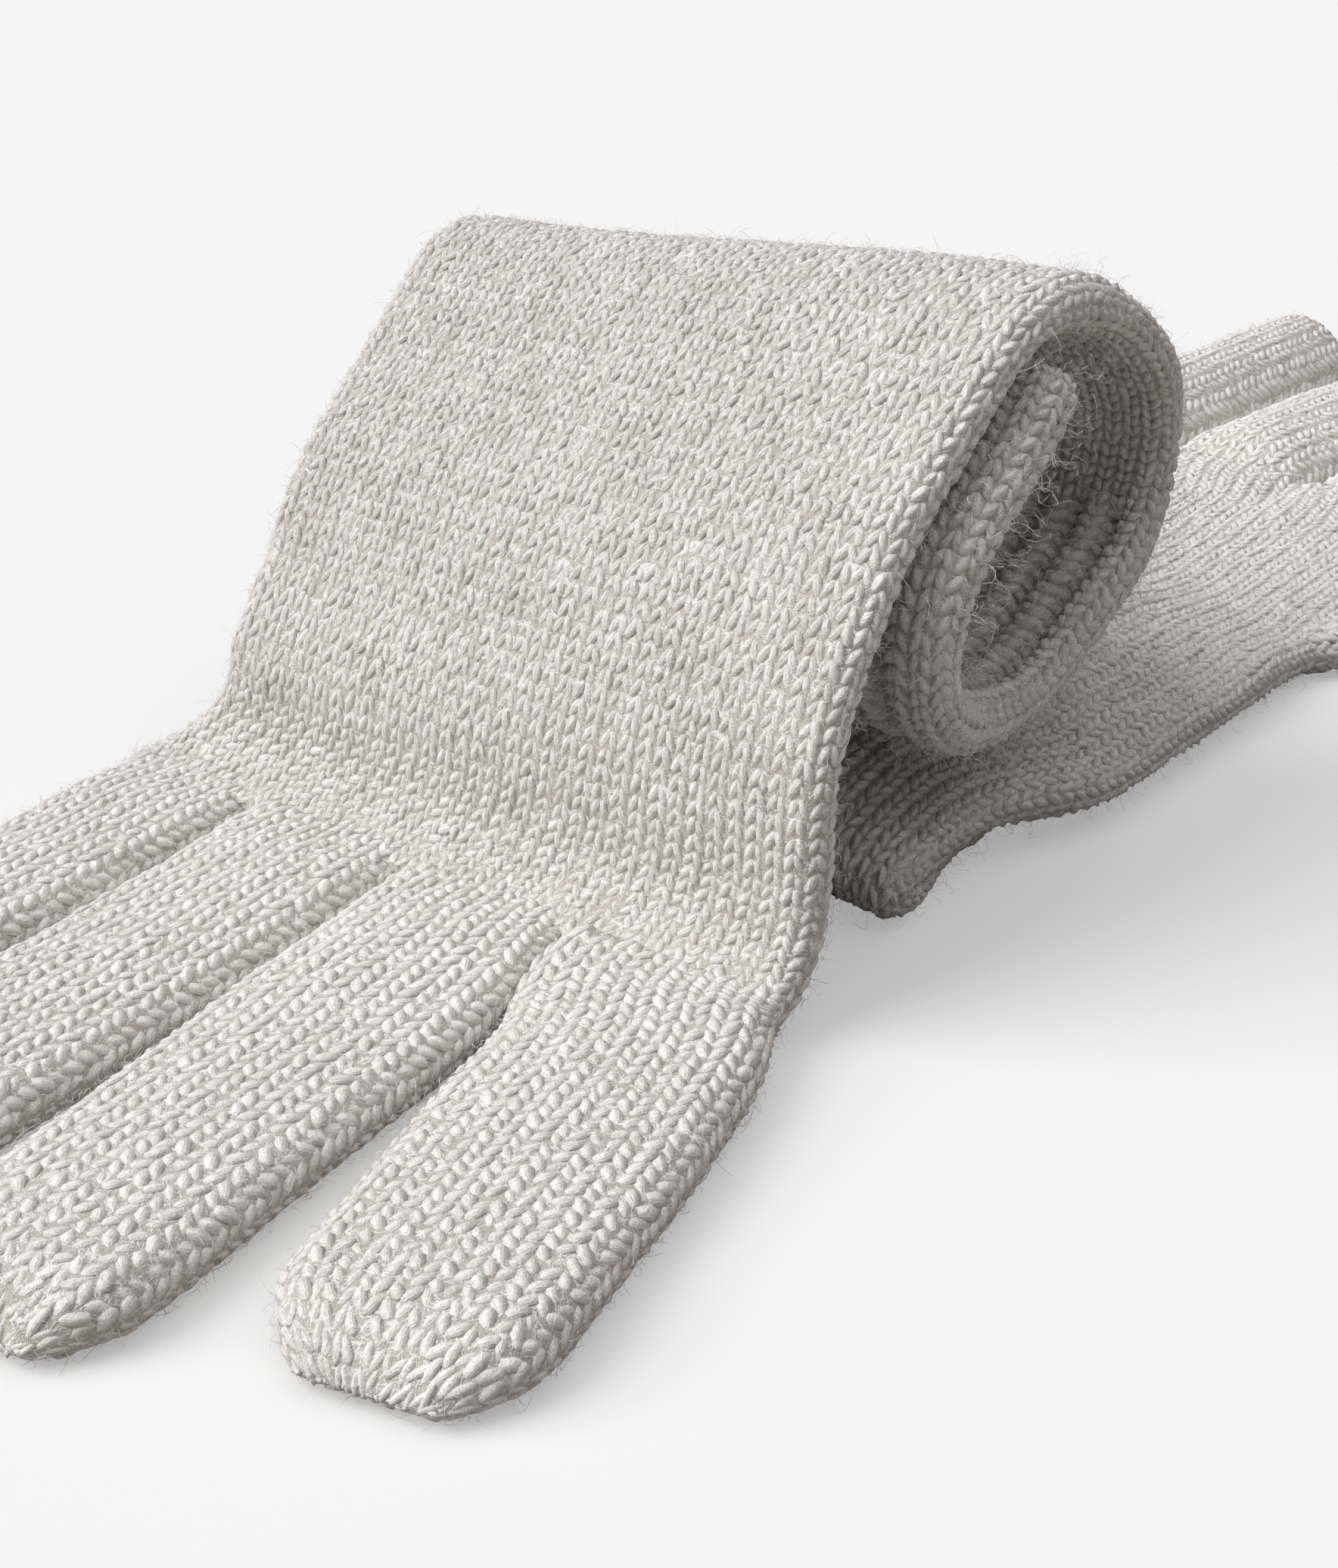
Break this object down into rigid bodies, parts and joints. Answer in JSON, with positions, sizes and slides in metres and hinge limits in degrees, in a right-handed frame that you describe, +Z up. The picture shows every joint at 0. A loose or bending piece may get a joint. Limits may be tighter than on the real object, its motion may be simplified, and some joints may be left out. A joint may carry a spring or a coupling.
{
  "type": "pair of knitted gloves",
  "caption": "Pair of fine-knit wool gloves: one lies flat with its cuff folded under, the other drapes over it with fingers forward and its rib cuff rolled inwards.",
  "frame": {"origin": "on the ground, on the flat underside of the left glove's folded cuff, midway across the gloves", "axes": "+X across the gloves towards both index fingers, +Y the way the left glove's fingers point, +Z up from the ground"},
  "size_m": [0.1297, 0.296, 0.063],
  "materials": {
    "plain_knit": "brushed stockinette, light greige melange wool",
    "rib_knit": "two-by-two rib, light greige melange wool",
    "gathered_knit": "drawn-in stockinette closing",
    "cuff_edge_yarn": "cast-on edge with loose fibres",
    "linking_yarn": "linking stitches"
  },
  "bodies": {
    "left_hand": {"left_hand": "plain_knit", "left_rib_cuff": "rib_knit", "left_cuff_hem": "cuff_edge_yarn", "left_crotch_joins": "linking_yarn", "left_thumb_join": "linking_yarn"},
    "left_index": {"left_index_finger": "plain_knit", "left_index_tip": "gathered_knit"},
    "left_middle": {"left_middle_finger": "plain_knit", "left_middle_tip": "gathered_knit"},
    "left_ring": {"left_ring_finger": "plain_knit", "left_ring_tip": "gathered_knit"},
    "left_little": {"left_little_finger": "plain_knit", "left_little_tip": "gathered_knit"},
    "left_thumb": {"left_thumb": "plain_knit", "left_thumb_tip": "gathered_knit"},
    "right_hand": {"right_hand": "plain_knit", "right_rib_cuff": "rib_knit", "right_cuff_hem": "cuff_edge_yarn", "right_crotch_joins": "linking_yarn", "right_thumb_join": "linking_yarn"},
    "right_index": {"right_index_finger": "plain_knit", "right_index_tip": "gathered_knit"},
    "right_middle": {"right_middle_finger": "plain_knit", "right_middle_tip": "gathered_knit"},
    "right_ring": {"right_ring_finger": "plain_knit", "right_ring_tip": "gathered_knit"},
    "right_little": {"right_little_finger": "plain_knit", "right_little_tip": "gathered_knit"},
    "right_thumb": {"right_thumb": "plain_knit", "right_thumb_tip": "gathered_knit"}
  },
  "joints": [
    {"name": "right_glove_lift", "type": "slide", "parent": "left_hand", "child": "right_hand", "axis": [0, 0, 1], "range_m": [0, 0.12]},
    {"name": "left_index_lift", "type": "hinge", "parent": "left_hand", "child": "left_index", "pos_m": [0, 0.0943, 0.0054], "axis": [1, 0, 0], "range_deg": [0, 75]},
    {"name": "left_middle_lift", "type": "hinge", "parent": "left_hand", "child": "left_middle", "pos_m": [0, 0.0943, 0.0054], "axis": [1, 0, 0], "range_deg": [0, 75]},
    {"name": "left_ring_lift", "type": "hinge", "parent": "left_hand", "child": "left_ring", "pos_m": [0, 0.0943, 0.0054], "axis": [1, 0, 0], "range_deg": [0, 75]},
    {"name": "left_little_lift", "type": "hinge", "parent": "left_hand", "child": "left_little", "pos_m": [0, 0.0943, 0.0054], "axis": [1, 0, 0], "range_deg": [0, 75]},
    {"name": "left_thumb_lift", "type": "hinge", "parent": "left_hand", "child": "left_thumb", "pos_m": [0.0423, 0.062, 0.0054], "axis": [0, -1, 0], "range_deg": [0, 80]},
    {"name": "right_index_lift", "type": "hinge", "parent": "right_hand", "child": "right_index", "pos_m": [0, -0.0623, 0.0054], "axis": [-1, 0, 0], "range_deg": [0, 75]},
    {"name": "right_middle_lift", "type": "hinge", "parent": "right_hand", "child": "right_middle", "pos_m": [0, -0.0623, 0.0054], "axis": [-1, 0, 0], "range_deg": [0, 75]},
    {"name": "right_ring_lift", "type": "hinge", "parent": "right_hand", "child": "right_ring", "pos_m": [0, -0.0623, 0.0054], "axis": [-1, 0, 0], "range_deg": [0, 75]},
    {"name": "right_little_lift", "type": "hinge", "parent": "right_hand", "child": "right_little", "pos_m": [0, -0.0623, 0.0054], "axis": [-1, 0, 0], "range_deg": [0, 75]},
    {"name": "right_thumb_ease", "type": "hinge", "parent": "right_hand", "child": "right_thumb", "pos_m": [0.0377, -0.04968, 0.01939], "axis": [0, -0.1498, -0.9887], "range_deg": [0, 2.5]}
  ]
}
